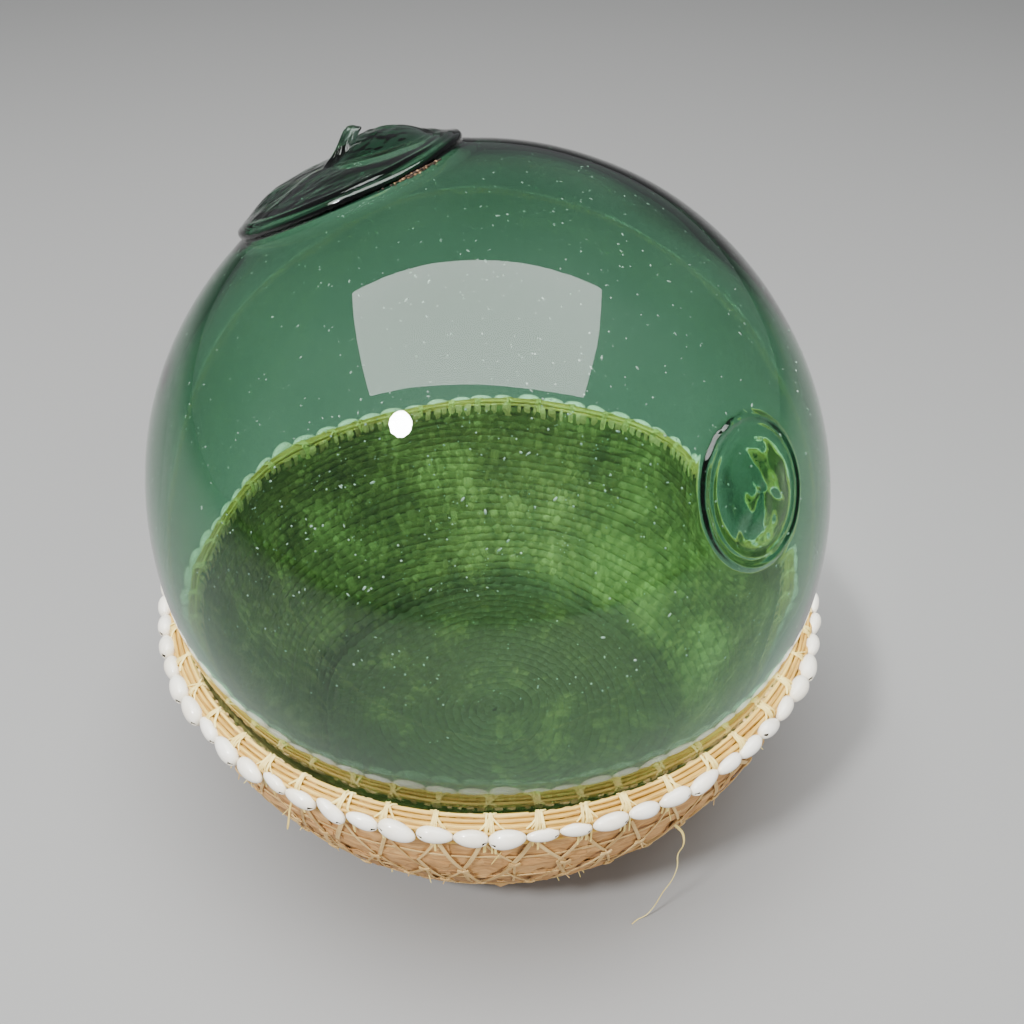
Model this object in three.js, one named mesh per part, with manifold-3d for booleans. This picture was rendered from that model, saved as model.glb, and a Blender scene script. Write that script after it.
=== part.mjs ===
// A hand-blown glass fishing float resting in a shallow coiled basket trimmed with shells.
// Millimetres, +Z up. The basket stands on z = 0 with its axis on x = y = 0, and its front is -Y.

import * as THREE from 'three';
import { mergeVertices } from 'three/addons/utils/BufferGeometryUtils.js';
import Module from 'manifold-3d';

const wasm = await Module();
wasm.setup();

// ---------------------------------------------------------------- driving dimensions

const GAP = 0.3; // clearance between two pieces that rest on each other

// The ball, in its own frame: its blowing axis is +Z and passes through the seal.
const BALL_RADIUS = 152.5;
const BALL_POLE = 156; // the blown ball is a little longer along its blowing axis
const BALL_SEGMENTS = 40;
const BALL_RINGS = 24;

// The seal: the applied button of glass that closed the blow hole.
const SEAL_AXIS = new THREE.Vector3(-0.385, 0.228, 0.894).normalize();
const SEAL_SIDE = new THREE.Vector3(0.905, 0.265, 0.331); // the seal's lopsided side
const SEAL_RADIUS = 50.5;
const SEAL_LIP_HEIGHT = 147.7; // from the ball's centre to the plane of the lip
const SEAL_DOME = 11.8; // crown of the button over the lip
const SEAL_DOME_POWER = 4.5;
const SEAL_SEGMENTS = 32;
const SEAL_ROOT = 10; // how deep the button's blank runs into the ball
const TERRACE = { radius: 20.5, x: 17, y: -4, low: 4, top: 18.2 };
const TERRACE_SEGMENTS = 20;
const NUB = { x: 6, y: -8.5, height: 15.6, width: 8, thick: 6, length: 15, lean: 0.88 };

// The round patch on the ball's side.
const PATCH_AXIS = new THREE.Vector3(0.66, -0.6, 0.452).normalize();
const PATCH_RADIUS = 28;
const PATCH_SEGMENTS = 24;

// The basket.
const FLOOR_THICKNESS = 6;
const WALL_THICKNESS = 3.8;
const BASE_RADIUS = 98;
const RIM_RADIUS = 150.4; // outside of the wall under the reeds
const RIM_HEIGHT = 110.5;
const WALL_COURSES = 8; // raised courses that show on the outside of the wall
const COURSE_RELIEF = 0.9;
const INSIDE_STEPS = 6;
const BASKET_SEGMENTS = 36;

// Reeds laid side by side on the basket's rim.
const REED_RADIUS = 1;
const REED_SEGMENTS = 40;
const REED_RING_RADII = [148, 150.1, 152.2];
const REED_HEIGHTS = [113.6, 112.9, 112.1];

// Shells sewn end to end round the outside of the rim.
const SHELL_COUNT = 68;
const SINGLE_SHELLS = 36; // shells in nodes of their own, across the front
const SHELL_RING_RADIUS = 154.3;
const SHELL_RING_HEIGHT = 107.5;
const SHELL_WIDTH = 7.8; // along the rim's height
const SHELL_THICKNESS = 6.6; // out from the rim
const SHELL_SPREAD = 0.1; // how much the shells' lengths vary
const SHELL_SEGMENTS = 6;
const PAIR_OVERLAP = 0.8; // how far the tips of a joined pair run into each other

// ---------------------------------------------------------------- materials

const material = (color, roughness, metalness = 0) =>
  new THREE.MeshStandardMaterial({ color, roughness, metalness });

const glassMaterial = () => material(0x2f6b4a, 0.06);
const basketMaterial = () => material(0xb98f6a, 0.85);
const reedMaterial = () => material(0xd2a56d, 0.6);
const shellMaterial = () => material(0xf3efe2, 0.25);

// ---------------------------------------------------------------- helpers

// A mesh's shared vertices have to be merged before it can be joined or cut.
function toManifold(geometry) {
  const bare = geometry.clone();
  bare.deleteAttribute('normal');
  bare.deleteAttribute('uv');
  const merged = mergeVertices(bare, 1e-4);
  return new wasm.Manifold(new wasm.Mesh({
    numProp: 3,
    vertProperties: Float32Array.from(merged.attributes.position.array),
    triVerts: Uint32Array.from(merged.index.array),
  }));
}

function toGeometry(solid) {
  const mesh = solid.getMesh();
  const geometry = new THREE.BufferGeometry();
  geometry.setAttribute('position', new THREE.BufferAttribute(mesh.vertProperties, 3));
  geometry.setIndex(new THREE.BufferAttribute(mesh.triVerts, 1));
  geometry.computeVertexNormals();
  return geometry;
}

function join(geometries) {
  const [first, ...rest] = geometries.map(toManifold);
  return toGeometry(rest.reduce((sum, solid) => sum.add(solid), first));
}

// A lathe about +Z from [radius, height] points that start and end on the axis.
function turned(points, segments) {
  const profile = points.map(([radius, height]) => new THREE.Vector2(radius, height));
  return new THREE.LatheGeometry(profile, segments).rotateX(Math.PI / 2);
}

// The turn that takes +Z to an axis and +X towards a side.
function frameOf(axis, side) {
  const across = new THREE.Vector3().crossVectors(axis, side).normalize();
  const along = new THREE.Vector3().crossVectors(across, axis);
  return new THREE.Matrix4().makeBasis(along, across, axis);
}

// ---------------------------------------------------------------- the glass float

const floatTurn = frameOf(SEAL_AXIS, SEAL_SIDE);

// How far the turned ball reaches below its centre.
function ballDrop() {
  const upright = SEAL_AXIS.z ** 2;
  return Math.sqrt(BALL_RADIUS ** 2 * (1 - upright) + BALL_POLE ** 2 * upright);
}

const BALL_CENTRE_HEIGHT = FLOOR_THICKNESS + GAP + ballDrop();

function ballBlank() {
  return new THREE.SphereGeometry(BALL_RADIUS, BALL_SEGMENTS, BALL_RINGS)
    .rotateX(Math.PI / 2)
    .scale(1, 1, BALL_POLE / BALL_RADIUS);
}

// The button: a sharp lip, a shallow groove inside it and a domed crown.
function sealButton() {
  const dome = (radius) => 1 + SEAL_DOME * (1 - (radius / SEAL_RADIUS) ** SEAL_DOME_POWER);
  const crown = [44, 38, 30, 20, 8].map((radius) => [radius, dome(radius)]);
  return turned([
    [0, -SEAL_ROOT],
    [SEAL_RADIUS - 4, -SEAL_ROOT],
    [SEAL_RADIUS - 0.8, -1.2],
    [SEAL_RADIUS, 0.3],
    [SEAL_RADIUS, 2.4],
    [SEAL_RADIUS - 1.2, 3.5],
    [SEAL_RADIUS - 3.5, 4.2],
    ...crown,
    [0, dome(0)],
  ], SEAL_SEGMENTS).translate(0, 0, SEAL_LIP_HEIGHT);
}

// The second gather of glass, off centre on the button.
function sealTerrace() {
  const { radius, x, y, low, top } = TERRACE;
  return turned([
    [0, low],
    [radius - 1.5, low],
    [radius, top - 8],
    [radius - 3, top - 4.6],
    [radius - 8, top - 2],
    [radius - 14, top - 0.6],
    [0, top],
  ], TERRACE_SEGMENTS).translate(x, y, SEAL_LIP_HEIGHT);
}

// The lump left where the pontil rod was broken away.
function pontilNub() {
  return new THREE.SphereGeometry(0.5, 12, 8)
    .scale(NUB.width, NUB.thick, NUB.length)
    .rotateY(NUB.lean)
    .translate(NUB.x, NUB.y, SEAL_LIP_HEIGHT + NUB.height);
}

// The side patch: two rims with a groove between them round a slightly domed disc.
function sidePatch() {
  const inverse = floatTurn.clone().invert();
  const axis = PATCH_AXIS.clone().applyMatrix4(inverse);
  const surface = 1 / Math.hypot(axis.x / BALL_RADIUS, axis.y / BALL_RADIUS, axis.z / BALL_POLE);
  const disc = turned([
    [0, -9],
    [PATCH_RADIUS - 3, -9],
    [PATCH_RADIUS, -3.6],
    [PATCH_RADIUS, -1.6],
    [PATCH_RADIUS - 1.2, -0.6],
    [PATCH_RADIUS - 3, -1.5],
    [PATCH_RADIUS - 5, -0.5],
    [PATCH_RADIUS - 8, -0.8],
    [0, 0.9],
  ], PATCH_SEGMENTS).translate(0, 0, surface);
  return disc.applyMatrix4(frameOf(axis, new THREE.Vector3(0, 0, 1)));
}

function glassFloat() {
  return join([ballBlank(), sealButton(), sealTerrace(), pontilNub(), sidePatch()])
    .applyMatrix4(floatTurn)
    .translate(0, 0, BALL_CENTRE_HEIGHT);
}

// ---------------------------------------------------------------- the basket

// The wall's outside radius at a height: it flares from the base and turns upright at the rim.
function wallRadius(height) {
  return BASE_RADIUS + (RIM_RADIUS - BASE_RADIUS) * Math.sin((height / RIM_HEIGHT) * Math.PI / 2);
}

function basket() {
  const outside = [];
  for (let course = 0; course < WALL_COURSES; course += 1) {
    const low = 2 + (RIM_HEIGHT - 4) * course / WALL_COURSES;
    const high = 2 + (RIM_HEIGHT - 4) * (course + 0.72) / WALL_COURSES;
    outside.push([wallRadius(low) - COURSE_RELIEF, low]);
    outside.push([wallRadius(high), high]);
  }
  const inside = [];
  for (let step = INSIDE_STEPS; step >= 1; step -= 1) {
    const height = FLOOR_THICKNESS + (RIM_HEIGHT - FLOOR_THICKNESS) * step / INSIDE_STEPS;
    inside.push([wallRadius(height) - WALL_THICKNESS, height]);
  }
  return turned([
    [0, 0],
    [BASE_RADIUS - 3, 0],
    ...outside,
    [RIM_RADIUS - 0.6, RIM_HEIGHT],
    ...inside,
    [BASE_RADIUS - 4, FLOOR_THICKNESS],
    [0, FLOOR_THICKNESS],
  ], BASKET_SEGMENTS);
}

function reed(ringRadius, height) {
  return new THREE.TorusGeometry(ringRadius, REED_RADIUS, 6, REED_SEGMENTS).translate(0, 0, height);
}

// ---------------------------------------------------------------- the shells

// Each shell's share of the ring: the lengths vary a little, with no pattern that shows.
function shellShare(index) {
  const drift = Math.sin(index * 2.17) * 0.6 + Math.sin(index * 0.83 + 1.4) * 0.4;
  return 1 + (index < SINGLE_SHELLS ? SHELL_SPREAD * drift : 0);
}

const shares = Array.from({ length: SHELL_COUNT }, (_, index) => shellShare(index));
const wholeRing = shares.reduce((sum, share) => sum + share, 0);

// The angle from the front, and the length, of each shell. The single ones are centred on the front.
function shellSlots() {
  const front = shares.slice(0, SINGLE_SHELLS).reduce((sum, share) => sum + share, 0);
  let angle = -Math.PI * front / wholeRing;
  return shares.map((share) => {
    const sweep = 2 * Math.PI * share / wholeRing;
    angle += sweep;
    return { angle: angle - sweep / 2, length: 2 * SHELL_RING_RADIUS * Math.tan(sweep / 2) };
  });
}

// One shell along X: an egg with one end blunter than the other.
function shellBlank(length) {
  const stations = [0.12, 0.36, 0.66, 0.9];
  const girth = (t) => 0.5 * Math.sin(Math.PI * t ** 0.92) ** 0.68;
  const points = stations.map((t) => [girth(t), (t - 0.5) * length]);
  return turned([[0, -0.5 * length], ...points, [0, 0.5 * length]], SHELL_SEGMENTS)
    .rotateY(Math.PI / 2)
    .scale(1, SHELL_THICKNESS, SHELL_WIDTH);
}

function placedShell(slot, length, shift = 0) {
  return shellBlank(length)
    .translate(shift, -SHELL_RING_RADIUS, SHELL_RING_HEIGHT)
    .rotateZ(slot.angle);
}

// Two shells whose near tips run into each other and whose far tips keep their gap.
function pairOfShells(first, second) {
  const length = first.length + (PAIR_OVERLAP - GAP) / 2;
  const shift = (PAIR_OVERLAP + GAP) / 4;
  return join([placedShell(first, length, shift), placedShell(second, length, -shift)]);
}

// ---------------------------------------------------------------- the whole part

const part = new THREE.Group();

function add(name, geometry, finish) {
  const mesh = new THREE.Mesh(geometry, finish);
  mesh.name = name;
  part.add(mesh);
}

add('glass_float', glassFloat(), glassMaterial());
add('basket', basket(), basketMaterial());
REED_RING_RADII.forEach((ringRadius, index) => {
  add(`rim_reed_${index + 1}`, reed(ringRadius, REED_HEIGHTS[index]), reedMaterial());
});

const twoDigits = (number) => String(number).padStart(2, '0');
const slots = shellSlots();
slots.slice(0, SINGLE_SHELLS).forEach((slot, index) => {
  add(`shell_${twoDigits(index + 1)}`, placedShell(slot, slot.length - GAP), shellMaterial());
});
for (let index = SINGLE_SHELLS; index < SHELL_COUNT; index += 2) {
  const name = `shells_${twoDigits(index + 1)}_${twoDigits(index + 2)}`;
  add(name, pairOfShells(slots[index], slots[index + 1]), shellMaterial());
}

export default part;
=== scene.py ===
"""A green glass fishing float resting in a coiled basket trimmed with shells. Metres, +Z up."""

import functools
import math
import random

import bpy
from mathutils import Matrix, Vector, noise


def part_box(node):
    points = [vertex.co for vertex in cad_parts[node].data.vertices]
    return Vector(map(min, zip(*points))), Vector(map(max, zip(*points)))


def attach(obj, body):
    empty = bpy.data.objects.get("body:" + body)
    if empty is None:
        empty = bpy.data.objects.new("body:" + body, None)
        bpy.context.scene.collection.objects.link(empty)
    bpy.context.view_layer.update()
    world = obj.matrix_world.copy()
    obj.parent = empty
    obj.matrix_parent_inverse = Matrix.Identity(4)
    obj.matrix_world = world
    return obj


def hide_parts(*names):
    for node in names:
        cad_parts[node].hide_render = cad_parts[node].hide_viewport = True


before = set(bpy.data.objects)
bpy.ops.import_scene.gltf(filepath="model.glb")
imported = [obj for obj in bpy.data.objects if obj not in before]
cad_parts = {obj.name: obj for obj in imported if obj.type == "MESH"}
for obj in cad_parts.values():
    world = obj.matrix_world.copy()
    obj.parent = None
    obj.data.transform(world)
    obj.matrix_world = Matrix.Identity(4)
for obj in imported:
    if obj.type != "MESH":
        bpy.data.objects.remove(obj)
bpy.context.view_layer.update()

MM = 0.001
random.seed(41)

# ---- sizes, from the frame

BALL_RADIUS = 152.5 * MM
BALL_POLE = 156 * MM  # the ball is a little longer along the seal's axis
WALL = 6 * MM
SEAL_AXIS = Vector((-0.385, 0.228, 0.894)).normalized()
SEAL_SIDE = Vector((0.905, 0.265, 0.331))
SEAL_RADIUS = 50.5 * MM
SEAL_LIP_HEIGHT = 147.7 * MM
PATCH_AXIS = Vector((0.66, -0.6, 0.452)).normalized()

float_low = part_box("glass_float")[0]
ball_drop = math.sqrt(BALL_RADIUS**2 * (1 - SEAL_AXIS.z**2) + BALL_POLE**2 * SEAL_AXIS.z**2)
BALL_CENTRE = Vector((0, 0, float_low.z + ball_drop))

basket_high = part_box("basket")[1]
BASE_RADIUS = 98 * MM
RIM_RADIUS = basket_high.x
RIM_HEIGHT = basket_high.z


# ---- camera, floor and lights

CAMERA_OFFSET = Vector((0.010, -0.4416, 0.3387))
CAMERA_PITCH = math.radians(38.6)
CAMERA_LENS = 42.2


def make_camera():
    bpy.ops.object.camera_add(
        location=BALL_CENTRE + CAMERA_OFFSET, rotation=(math.pi / 2 - CAMERA_PITCH, 0, 0)
    )
    camera = named("camera")
    camera.data.lens = CAMERA_LENS
    camera.data.clip_start = 0.01
    bpy.context.scene.camera = camera


def soft_light(name, place, target, width, height, power):
    """An area light that faces its target, and isn't seen through the glass."""
    bpy.ops.object.light_add(type="AREA", location=place)
    lamp = named(name)
    lamp.rotation_euler = (Vector(target) - Vector(place)).to_track_quat("-Z", "Y").to_euler()
    lamp.data.shape = "DISK" if width == height else "RECTANGLE"
    lamp.data.size = width
    lamp.data.size_y = height
    lamp.data.energy = power
    lamp.visible_transmission = False
    return lamp


def make_stage():
    """A pale floor, a panel overhead, a lamp at the front left, a fill at the front right and a dim sky."""
    bpy.ops.mesh.primitive_plane_add(size=12, location=(0, 2, 0))
    floor = named("floor")
    paper = Finish("pale_floor")
    paper.surface(Base_Color=(0.26, 0.26, 0.256, 1), Roughness=0.9)
    floor.data.materials.append(paper.material)
    soft_light("overhead_panel", (-0.1, -0.15, 1.8), (-0.1, -0.15, 0), width=2.1, height=1.2, power=72)
    soft_light("key_lamp", (-0.87, -1.15, 1.8), BALL_CENTRE, width=0.26, height=0.26, power=62)
    fill = soft_light("front_fill", (1.4, -1.9, 0.9), BALL_CENTRE, width=1.2, height=0.8, power=34)
    fill.visible_glossy = False
    world = bpy.data.worlds.new("studio")
    world.use_nodes = True
    sky = world.node_tree.nodes["Background"].inputs
    sky["Color"].default_value = (0.8, 0.83, 0.86, 1)
    sky["Strength"].default_value = 0.27
    bpy.context.scene.world = world


# ---- shader maths


class Value:
    """An output of a shader node. Arithmetic on it adds Math nodes."""

    def __init__(self, finish, socket):
        self.finish = finish
        self.socket = socket

    def math(self, operation, *operands):
        return self.finish.node("ShaderNodeMath", {"operation": operation}, *operands)

    def __add__(self, other):
        return self.math("ADD", self, other)

    def __mul__(self, other):
        return self.math("MULTIPLY", self, other)

    def __pow__(self, other):
        return self.math("POWER", self, other)

    __radd__ = __add__


class Finish:
    """A procedural material that is written as expressions."""

    def __init__(self, name):
        self.material = bpy.data.materials.new(name)
        self.material.use_nodes = True
        self.tree = self.material.node_tree
        self.shader = self.tree.nodes["Principled BSDF"]

    def feed(self, socket, value):
        if isinstance(value, Value):
            self.tree.links.new(value.socket, socket)
        else:
            socket.default_value = value

    def node(self, kind, settings, *inputs, out=0, **named):
        """A node of a type, its settings, its inputs in order or by name, and the output wanted."""
        made = self.tree.nodes.new(kind)
        for key, value in settings.items():
            if key == "stops":
                self.set_stops(made.color_ramp, value)
            else:
                setattr(made, key, value)
        for socket, value in zip(made.inputs, inputs):
            self.feed(socket, value)
        for key, value in named.items():
            self.feed(made.inputs[key.replace("_", " ")], value)
        return Value(self, made.outputs[out])

    def set_stops(self, ramp, stops):
        while len(ramp.elements) < len(stops):
            ramp.elements.new(1.0)
        for element, (place, colour) in zip(ramp.elements, stops):
            element.position = place
            element.color = (*colour, 1)

    def place(self):
        return self.node("ShaderNodeTexCoord", {}, out="Object")

    def attribute(self, name):
        return self.node("ShaderNodeAttribute", {"attribute_name": name}, out="Vector")

    def stretch(self, vector, scale):
        return self.node("ShaderNodeMapping", {}, vector, Scale=scale)

    def parts(self, vector):
        """The three numbers of a vector."""
        split = self.node("ShaderNodeSeparateXYZ", {}, vector)
        return [Value(self, output) for output in split.socket.node.outputs]

    def clouds(self, vector, scale, detail=3.0):
        return self.node(
            "ShaderNodeTexNoise", {}, Vector=vector, Scale=scale, Detail=detail, Roughness=0.55
        )

    def ramp(self, value, stops):
        return self.node("ShaderNodeValToRGB", {"stops": stops}, value)

    def blend(self, share, first, second):
        """A colour between two."""
        mixed = self.node("ShaderNodeMix", {"data_type": "RGBA"}, share, out=2)
        sockets = mixed.socket.node.inputs
        self.feed(sockets[6], first)
        self.feed(sockets[7], second)
        return mixed

    def bump(self, height, strength, distance):
        return self.node("ShaderNodeBump", {}, Strength=strength, Distance=distance, Height=height)

    def surface(self, **inputs):
        for key, value in inputs.items():
            self.feed(self.shader.inputs[key.replace("_", " ")], value)


# ---- finishes


def glass_finish():
    """Clear bottle-green glass, tinted by how far the light runs inside it."""
    glass = Finish("bottle_glass")
    glass.surface(Base_Color=(1, 1, 1, 1), Roughness=0.0, IOR=1.5, Transmission_Weight=1.0)
    tint = glass.node("ShaderNodeVolumeAbsorption", {}, Color=(0.10, 0.54, 0.31, 1), Density=172)
    glass.feed(glass.tree.nodes["Material Output"].inputs["Volume"], tint)
    return glass.material


def bubble_finish():
    """Pale grey-green specks, some lighter than others."""
    seed = Finish("seed_bubbles")
    cloud = seed.clouds(seed.place(), 40)
    tone = seed.ramp(cloud, [(0.3, (0.07, 0.14, 0.10)), (0.7, (0.27, 0.35, 0.29))])
    seed.surface(Base_Color=tone, Roughness=0.25)
    return seed.material


def fibre_finish(name, dark, middle, light, streak, rough, relief, shares=(0.45, 0.2, 0.2, 0.15)):
    """Dry plant fibre: fine streaks along the grain attribute over broad patches of colour.

    The shares are those of the fine streaks, the broad ones, the patches and the strand's own number, which
    inside the basket also carries painted shade.
    """
    fibre = Finish(name)
    grain = fibre.attribute("grain")
    fine = fibre.clouds(fibre.stretch(grain, (90, streak, 3)), 1.0, 5)
    broad = fibre.clouds(fibre.stretch(grain, (14, 60, 7)), 1.0, 2)
    patches = fibre.clouds(fibre.place(), 40, 4)
    # the strand's own number; in the basket's coil and stitches it also carries painted shade
    each = fibre.parts(grain)[2]
    mixed = fine * shares[0] + broad * shares[1] + patches * shares[2] + each * shares[3]
    tone = fibre.ramp(mixed, [(0.34, dark), (0.49, middle), (0.64, light)])
    height = fine * 0.7 + broad * 0.3
    fibre.surface(
        Base_Color=tone,
        Roughness=rough + fine * 0.15,
        Normal=fibre.bump(height, 0.6, relief),
    )
    return fibre.material


def shell_finish():
    """Polished white shell, warmer at its tips, each a little different, and painted near-black in its
    drilled hole as painted shade.
    """
    shell = Finish("polished_shell")
    along, across, each = shell.parts(shell.attribute("grain"))
    clouds = shell.clouds(shell.place(), 60, 3)
    tip = along.math("ABSOLUTE", along)
    hole = across.math("GREATER_THAN", across, HOLE_EDGE)
    white = shell.ramp(clouds, [(0.35, (0.90, 0.84, 0.70)), (0.6, (0.97, 0.94, 0.85))])
    tone = shell.blend(tip**5 * 0.5 + each * 0.16, white, (0.78, 0.66, 0.46, 1))
    shell.surface(
        # painted shade: the drilled hole's faces are near-black, for the shade inside it
        Base_Color=shell.blend(hole, tone, (0.05, 0.035, 0.02, 1)),
        Roughness=0.16 + clouds * 0.14,
        Coat_Weight=0.4,
    )
    return shell.material


# ---- modelling by hand


def choose(*pieces):
    """Selects these and nothing else, with the first one active."""
    if bpy.context.mode != "OBJECT":
        done()
    bpy.ops.object.select_all(action="DESELECT")
    for piece in pieces:
        piece.select_set(True)
    bpy.context.view_layer.objects.active = pieces[0]


def named(name):
    piece = bpy.context.object
    piece.name = name
    return piece


def edit(piece, mode="VERT"):
    choose(piece)
    bpy.ops.object.mode_set(mode="EDIT")
    bpy.ops.mesh.select_mode(type=mode)
    bpy.ops.mesh.select_all(action="SELECT")


def done():
    bpy.ops.object.mode_set(mode="OBJECT")


def pick(piece, test, parts):
    """Selects the edges or polygons that pass a test, and leaves the piece in edit mode."""
    edit(piece, {"edges": "EDGE", "polygons": "FACE"}[parts])
    bpy.ops.mesh.select_all(action="DESELECT")
    done()
    for part in getattr(piece.data, parts):
        part.select = test(part)
    bpy.ops.object.mode_set(mode="EDIT")


def settle(piece):
    """Puts a piece's place into its mesh, with its object at the origin."""
    choose(piece)
    bpy.ops.object.transform_apply(location=True, rotation=True, scale=True)


def turn(piece, matrix):
    piece.matrix_world = matrix
    settle(piece)


def tidy(piece, distance=0.01 * MM):
    edit(piece)
    bpy.ops.mesh.remove_doubles(threshold=distance)
    bpy.ops.mesh.normals_make_consistent(inside=False)
    done()


def modify(piece, kind, **settings):
    choose(piece)
    modifier = piece.modifiers.new(kind.lower(), kind)
    for key, value in settings.items():
        setattr(modifier, key, value)
    bpy.ops.object.modifier_apply(modifier=modifier.name)


def smooth(piece, angle=60):
    choose(piece)
    bpy.ops.object.shade_smooth_by_angle(angle=math.radians(angle))


def join(name, pieces):
    choose(*pieces)
    bpy.ops.object.join()
    return named(name)


def copy_of(piece):
    made = piece.copy()
    made.data = piece.data.copy()
    made.name = "copy"
    bpy.context.collection.objects.link(made)
    return made


def discard(piece):
    bpy.data.objects.remove(piece, do_unlink=True)


def gathered(name, pattern, made):
    """One piece of all that was laid from copies of a pattern, which is done with."""
    discard(pattern)
    piece = join(name, made)
    smooth(piece)
    return piece


def reshape(piece, place):
    """Moves every vertex to place(vertex), which is how a straight blank is laid on a curved form."""
    for vertex in piece.data.vertices:
        vertex.co = place(vertex.co.copy())
    piece.data.update()


def grain_of(piece, along, across, number):
    """Stores the fibre's own directions, and a number for the strand, before it's bent."""
    layer = piece.data.attributes.new("grain", "FLOAT_VECTOR", "POINT")
    for vertex, item in zip(piece.data.vertices, layer.data):
        item.vector = (along(vertex.co), across(vertex.co), number)


def set_number(piece, number):
    """Gives a copy its own number, which its colour follows."""
    for item in piece.data.attributes["grain"].data:
        item.vector.z = number


def finish(piece, material, slot, *nodes):
    piece.data.materials.clear()
    piece.data.materials.append(material)
    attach(piece, "root")
    if nodes:
        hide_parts(*nodes)
    return piece


# ---- routes and outlines


class Route:
    """A line through points, read by the distance along it."""

    def __init__(self, points):
        self.points = [Vector(point) for point in points]
        self.lengths = [0.0]
        for first, second in zip(self.points, self.points[1:]):
            self.lengths.append(self.lengths[-1] + (second - first).length)
        self.length = self.lengths[-1]

    def at(self, distance):
        """The point at a distance along, and the direction there."""
        index = 0
        while index < len(self.points) - 2 and self.lengths[index + 1] < distance:
            index += 1
        step = self.points[index + 1] - self.points[index]
        share = (distance - self.lengths[index]) / step.length
        return self.points[index] + step * share, step.normalized()

    def every(self, spacing):
        count = max(2, round(self.length / spacing))
        return [self.at(self.length * index / count)[0] for index in range(count + 1)]


def curved(points, per_span=6):
    """A smooth line through a few points, by Catmull-Rom spans."""
    points = [Vector(point) for point in points]
    ends = [2 * points[0] - points[1], *points, 2 * points[-1] - points[-2]]
    line = []
    for a, b, c, d in zip(ends, ends[1:], ends[2:], ends[3:]):
        for index in range(per_span):
            t = index / per_span
            line.append(0.5 * (2 * b + (c - a) * t + (2 * a - 5 * b + 4 * c - d) * t**2
                               + (3 * b - a - 3 * c + d) * t**3))
    return line + [points[-1]]


def drawn(name, outline):
    """A line of edges in the XZ plane, extruded point by point from one vertex."""
    start = outline[0]
    bpy.ops.mesh.primitive_plane_add(size=1 * MM, location=start)
    piece = named(name)
    settle(piece)
    edit(piece)
    bpy.ops.mesh.merge(type="CENTER")
    for first, second in zip(outline, outline[1:]):
        bpy.ops.mesh.extrude_region_move(TRANSFORM_OT_translate={"value": second - first})
    done()
    return piece


def spun(name, outline, steps):
    """A closed skin, spun about Z from an outline that starts and ends on the axis or at an open rim."""
    piece = drawn(name, outline)
    edit(piece)
    bpy.ops.mesh.spin(steps=steps, angle=2 * math.pi, center=(0, 0, 0), axis=(0, 0, 1))
    done()
    tidy(piece)
    return piece


def frame_of(axis, side):
    """The turn that takes +Z to an axis and +X towards a side."""
    across = axis.cross(side).normalized()
    return Matrix((across.cross(axis), across, axis)).transposed()


def bell(distance, width):
    """1 at no distance, and next to nothing at twice the width."""
    return math.exp(-((distance / width) ** 2))


def ramp_up(value):
    """A smooth rise from 0 to 1 as the value goes from 0 to 1."""
    value = min(max(value, 0.0), 1.0)
    return value * value * (3 - 2 * value)


def ripple(angle, waves, seed):
    """A smooth wander round a circle that closes on itself."""
    return noise.noise(Vector((waves * math.cos(angle), waves * math.sin(angle), seed)))


# ---- the glass float

FLOAT_TURN = frame_of(SEAL_AXIS, SEAL_SIDE)
PATCH_IN_FLOAT = (FLOAT_TURN.transposed() @ PATCH_AXIS).normalized()
PATCH_TURN = frame_of(PATCH_IN_FLOAT, FLOAT_TURN.transposed() @ Vector((0, 0, 1)))
PATCH_EDGE = 30.7 * MM
CREASE_RADIUS = 51.9 * MM  # where the ball runs into the crease under the seal's lip
LIP_RADIUS = 50.6 * MM
GATHER_PLACE = Vector((17, -4)) * MM
GATHER_RADIUS = 22 * MM
GATHER_RISE = 6 * MM
NUB_PLACE = Vector((0.5, -9.0)) * MM
NUB_RADIUS = 7.2 * MM
CROWN_TOP = 12.8 * MM  # over the plane of the lip
CROWN_THICKNESS = 6.5 * MM
HOLLOW_RADIUS = 44.5 * MM  # where the wall's inner face turns up under the seal


def crown(radius):
    """The seal's crown over the plane of its lip."""
    return CROWN_TOP - 11.8 * MM * (radius / SEAL_RADIUS) ** 4.5


def soft_crown(radius):
    """The same with the gentler shoulder of the seal's near side."""
    return CROWN_TOP - 8.8 * MM * min(radius / SEAL_RADIUS, 1.0) ** 1.8


def seal_change(co):
    """What the near side and the second gather add to the crown, smoothly, at a place on the seal."""
    radius = co.xy.length
    near_side = ramp_up(0.5 - math.sin(math.atan2(co.y, co.x)))
    off_lip = ramp_up((49 * MM - radius) / (3 * MM))
    gather = GATHER_RISE * max(1 - ((co.xy - GATHER_PLACE).length / GATHER_RADIUS) ** 2, 0)
    return (soft_crown(radius) - crown(radius)) * near_side * off_lip + gather


def seal_outline():
    """The seal's section: a crease, a rounded lip, a shallow groove and the domed crown."""
    lip = [(CREASE_RADIUS / MM, -0.95), (51.1, -0.7), (50.6, -0.2), (50.8, 0.6), (51.1, 1.5), (51.0, 2.5),
           (50.4, 3.3), (49.2, 3.9), (47.6, 4.5), (45.8, 5.4)]
    dome = [(r, crown(r * MM) / MM) for r in (44, 42, 39, 34, 28, 22, 15, 8, 0)]
    points = [(r * MM, 0, SEAL_LIP_HEIGHT + h * MM) for r, h in lip + dome]
    return Route(curved(points)).every(0.7 * MM)


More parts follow.
